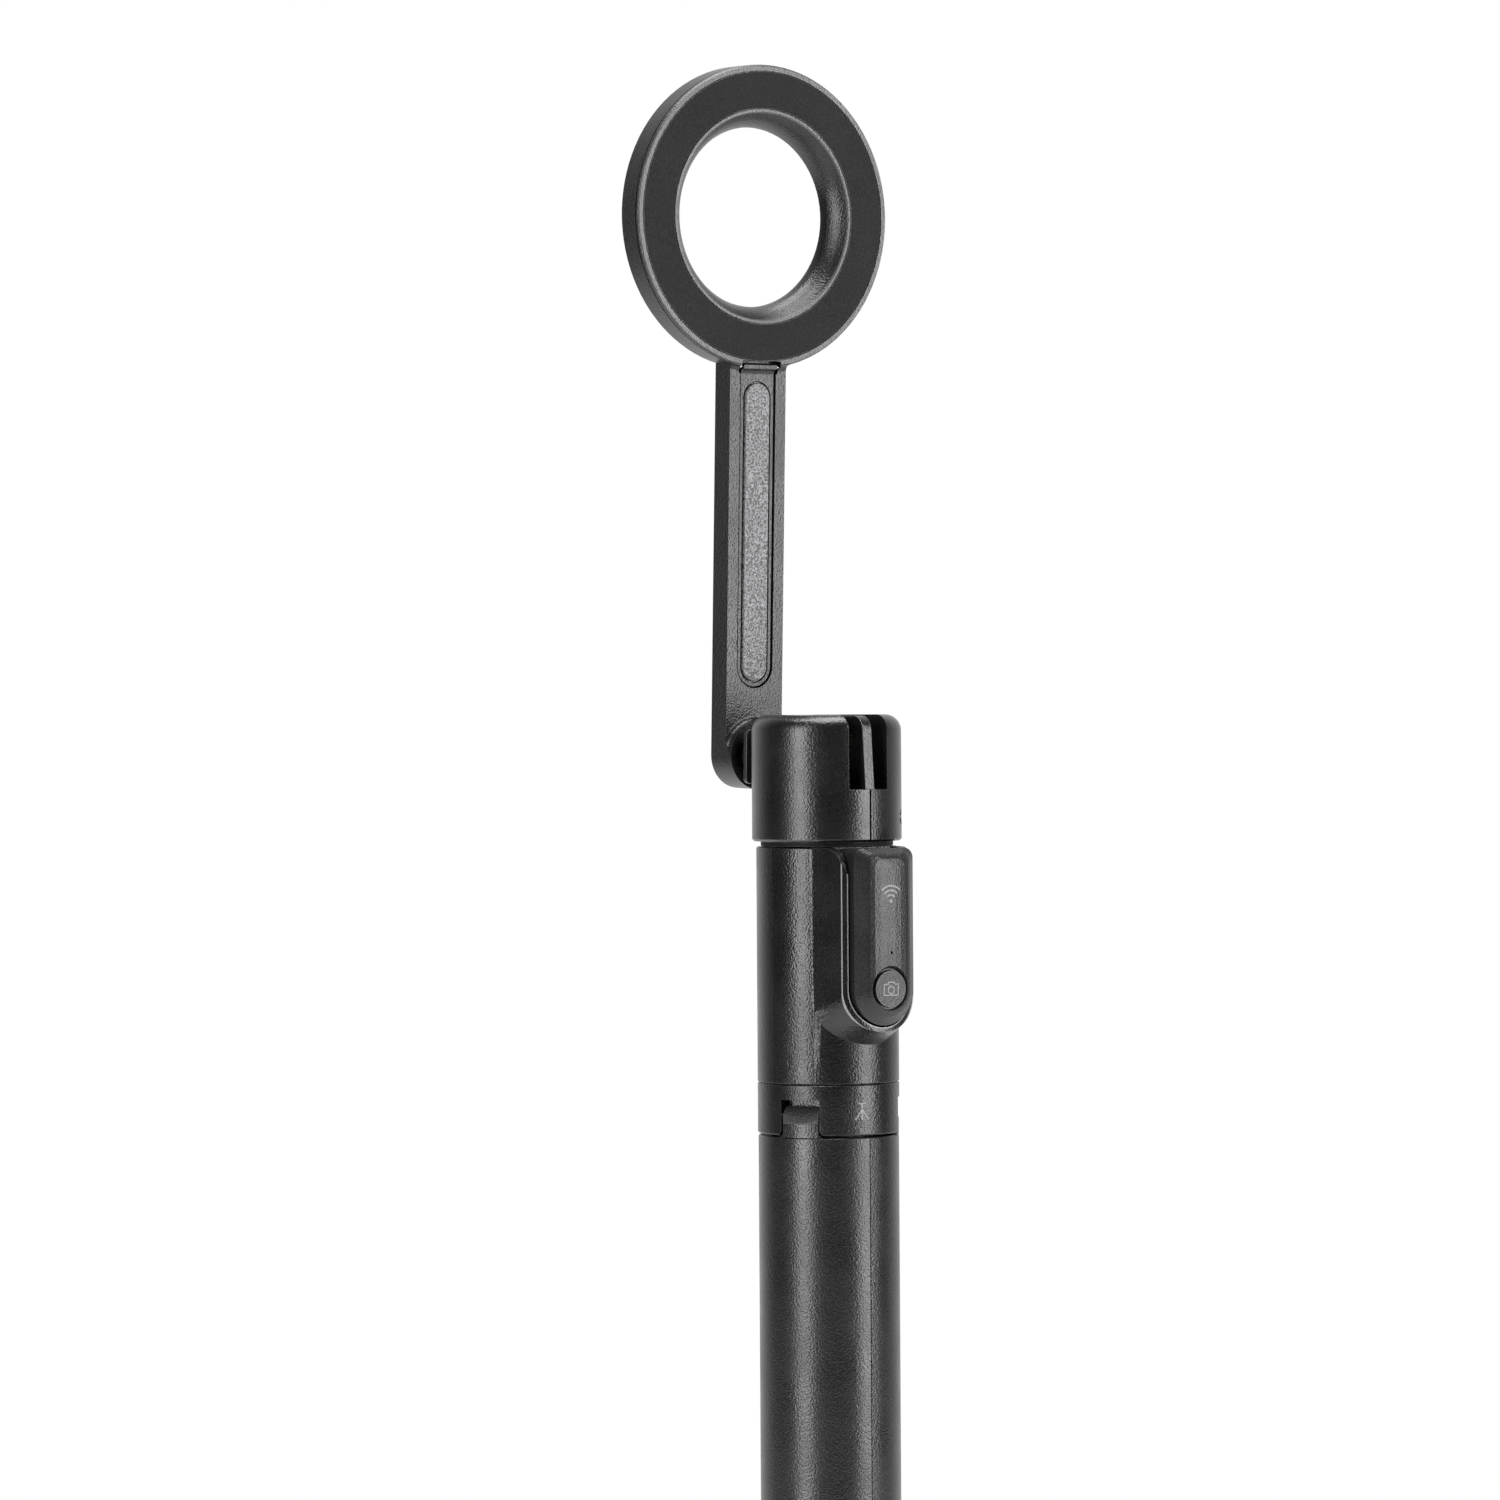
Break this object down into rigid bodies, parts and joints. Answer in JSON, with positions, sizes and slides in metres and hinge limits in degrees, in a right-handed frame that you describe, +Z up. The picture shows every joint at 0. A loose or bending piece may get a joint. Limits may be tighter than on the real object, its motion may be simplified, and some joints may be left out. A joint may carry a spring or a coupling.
{
  "type": "selfie stick",
  "caption": "Telescopic selfie stick with a magnetic phone ring on a tilting arm, a detachable shutter remote in its barrel, and a handle that opens into tripod legs.",
  "frame": {"origin": "centre of the base plug's face, level with the feet of the folded legs", "axes": "+Z up the pole; -Y is the side with the remote, where the phone ring faces; +X is to the right of someone looking at the remote"},
  "size_m": [0.0606, 0.052, 0.4228],
  "materials": {
    "satin_body": "fine satin texture, moulded black",
    "anodised_black": "bead-blasted black anodising",
    "soft_rubber": "very matte",
    "foot_rubber": "matte",
    "pole_metal": "satin anodised, drawn",
    "inner_plastic": "plain moulded",
    "hinge_steel": "plated",
    "magnet_steel": "nickel plated",
    "brass_washer": "plain",
    "pad_insert": "grained",
    "circuit_board": "solder mask",
    "battery_foil": "foil",
    "light_pipe": "clear"
  },
  "bodies": {
    "hub": {"barrel_front_shell": "satin_body", "barrel_rear_shell": "satin_body", "barrel_dowels": "hinge_steel", "barrel_top_ring": "hinge_steel", "guide_sleeve": "inner_plastic", "leg_collar": "satin_body", "leg_pins": "hinge_steel", "cradle_magnets": "magnet_steel"},
    "leg_a": {"leg_a_shell": "anodised_black", "leg_a_knuckle": "inner_plastic", "leg_a_foot": "foot_rubber"},
    "leg_b": {"leg_b_shell": "anodised_black", "leg_b_knuckle": "inner_plastic", "leg_b_foot": "foot_rubber"},
    "leg_c": {"leg_c_shell": "anodised_black", "leg_c_knuckle": "inner_plastic", "leg_c_foot": "foot_rubber"},
    "pole_1": {"base_plug": "inner_plastic", "tube_1": "pole_metal", "mouth_1": "inner_plastic"},
    "pole_2": {"tube_2": "pole_metal", "bush_2": "inner_plastic", "mouth_2": "inner_plastic"},
    "pole_3": {"tube_3": "pole_metal", "bush_3": "inner_plastic", "mouth_3": "inner_plastic"},
    "pole_4": {"tube_4": "pole_metal", "bush_4": "inner_plastic", "mouth_4": "inner_plastic"},
    "pole_5": {"tube_5": "pole_metal", "bush_5": "inner_plastic", "mouth_5": "inner_plastic"},
    "pole_6": {"tube_6": "pole_metal", "bush_6": "inner_plastic", "swivel_post": "inner_plastic"},
    "head": {"head_shell_left": "satin_body", "head_shell_right": "satin_body", "hinge_center_plate": "satin_body", "friction_washers": "brass_washer", "tilt_bolt": "hinge_steel", "tilt_nut": "hinge_steel", "head_screws": "hinge_steel"},
    "tilt_yoke": {"yoke": "anodised_black", "roll_bolt": "hinge_steel", "roll_washer": "brass_washer"},
    "arm": {"arm_frame": "anodised_black", "ring_pad": "soft_rubber", "ring_magnets": "magnet_steel", "ring_back_plate": "magnet_steel", "flap_pin": "hinge_steel"},
    "flap": {"flap": "anodised_black", "flap_pad": "pad_insert"},
    "remote": {"remote_front_shell": "satin_body", "remote_back_shell": "satin_body", "remote_pcb": "circuit_board", "remote_battery": "battery_foil", "tact_switch": "inner_plastic", "led_pipe": "light_pipe"},
    "button": {"shutter_button": "satin_body"}
  },
  "joints": [
    {"name": "leg_a_swing", "type": "hinge", "parent": "hub", "child": "leg_a", "pos_m": [-0.01061, -0.00613, 0.214], "axis": [-0.5, 0.866, 0], "range_deg": [0, 60]},
    {"name": "leg_b_swing", "type": "hinge", "parent": "hub", "child": "leg_b", "pos_m": [0.01061, -0.00613, 0.214], "axis": [-0.5, -0.866, 0], "range_deg": [0, 60]},
    {"name": "leg_c_swing", "type": "hinge", "parent": "hub", "child": "leg_c", "pos_m": [0, 0.01225, 0.214], "axis": [1, 0, 0], "range_deg": [0, 60]},
    {"name": "pole_1_slide", "type": "slide", "parent": "hub", "child": "pole_1", "axis": [0, 0, 1], "range_m": [0, 0.19]},
    {"name": "pole_2_slide", "type": "slide", "parent": "pole_1", "child": "pole_2", "axis": [0, 0, 1], "range_m": [0, 0.21]},
    {"name": "pole_3_slide", "type": "slide", "parent": "pole_2", "child": "pole_3", "axis": [0, 0, 1], "range_m": [0, 0.21]},
    {"name": "pole_4_slide", "type": "slide", "parent": "pole_3", "child": "pole_4", "axis": [0, 0, 1], "range_m": [0, 0.21]},
    {"name": "pole_5_slide", "type": "slide", "parent": "pole_4", "child": "pole_5", "axis": [0, 0, 1], "range_m": [0, 0.21]},
    {"name": "pole_6_slide", "type": "slide", "parent": "pole_5", "child": "pole_6", "axis": [0, 0, 1], "range_m": [0, 0.21]},
    {"name": "head_pan", "type": "hinge", "parent": "pole_6", "child": "head", "pos_m": [0, 0, 0.2676], "axis": [0, 0, 1], "continuous": true},
    {"name": "head_tilt", "type": "hinge", "parent": "head", "child": "tilt_yoke", "pos_m": [0, 0, 0.2836], "axis": [1, 0, 0], "range_deg": [-2, 178]},
    {"name": "arm_roll", "type": "hinge", "parent": "tilt_yoke", "child": "arm", "pos_m": [0, 0.02519, 0.28441], "axis": [0, 0.9995, 0.0321], "continuous": true},
    {"name": "flap_swing", "type": "hinge", "parent": "arm", "child": "flap", "pos_m": [0, 0.02268, 0.36237], "axis": [-1, 0, 0], "range_deg": [0, 90]},
    {"name": "remote_out", "type": "slide", "parent": "hub", "child": "remote", "axis": [0, -1, 0], "range_m": [0, 0.014]},
    {"name": "shutter_press", "type": "slide", "parent": "remote", "child": "button", "axis": [0, 1, 0], "range_m": [0, 0.0006], "stiffness_N_per_m": 1500, "springref_m": -0.0002}
  ]
}
